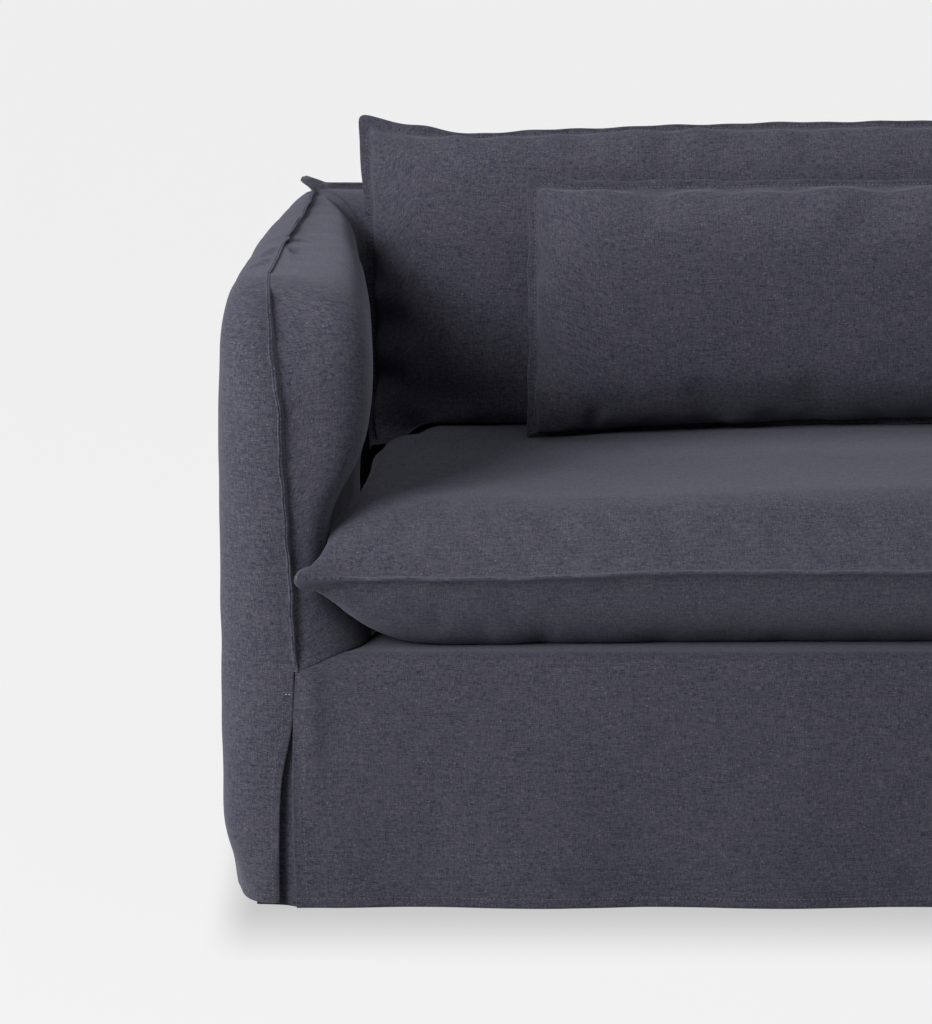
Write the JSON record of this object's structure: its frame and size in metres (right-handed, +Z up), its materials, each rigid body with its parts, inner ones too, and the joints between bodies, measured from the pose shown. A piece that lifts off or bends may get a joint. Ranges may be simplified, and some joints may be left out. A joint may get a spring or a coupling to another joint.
{
  "type": "sofa slipcover",
  "caption": "Hollow fitted linen slipcover for a two-seat sofa, with flanged seams, a corner-slit skirt and flanged seat, back and lumbar cushions.",
  "frame": {"origin": "on the floor, at the middle of the cover's footprint", "axes": "+Z up, +X to the sitter's left, which is the viewer's right from the front, and -Y out of the cover's open front"},
  "size_m": [1.856, 0.94, 0.871],
  "materials": {
    "cover_cloth": "matt linen plain weave with slubs",
    "pleat_cloth": "matt linen plain weave with slubs"
  },
  "bodies": {
    "root": {"outside_arm_left": "cover_cloth", "outside_arm_right": "cover_cloth", "inside_arm_left": "cover_cloth", "inside_arm_right": "cover_cloth", "inside_back": "cover_cloth", "outside_back": "cover_cloth", "front_skirt": "cover_cloth", "seat_deck": "cover_cloth", "pleat_underlay_left": "pleat_cloth", "pleat_underlay_right": "pleat_cloth", "seat_cushion": "cover_cloth", "back_cushion": "cover_cloth", "lumbar_cushion": "cover_cloth"}
  },
  "joints": []
}
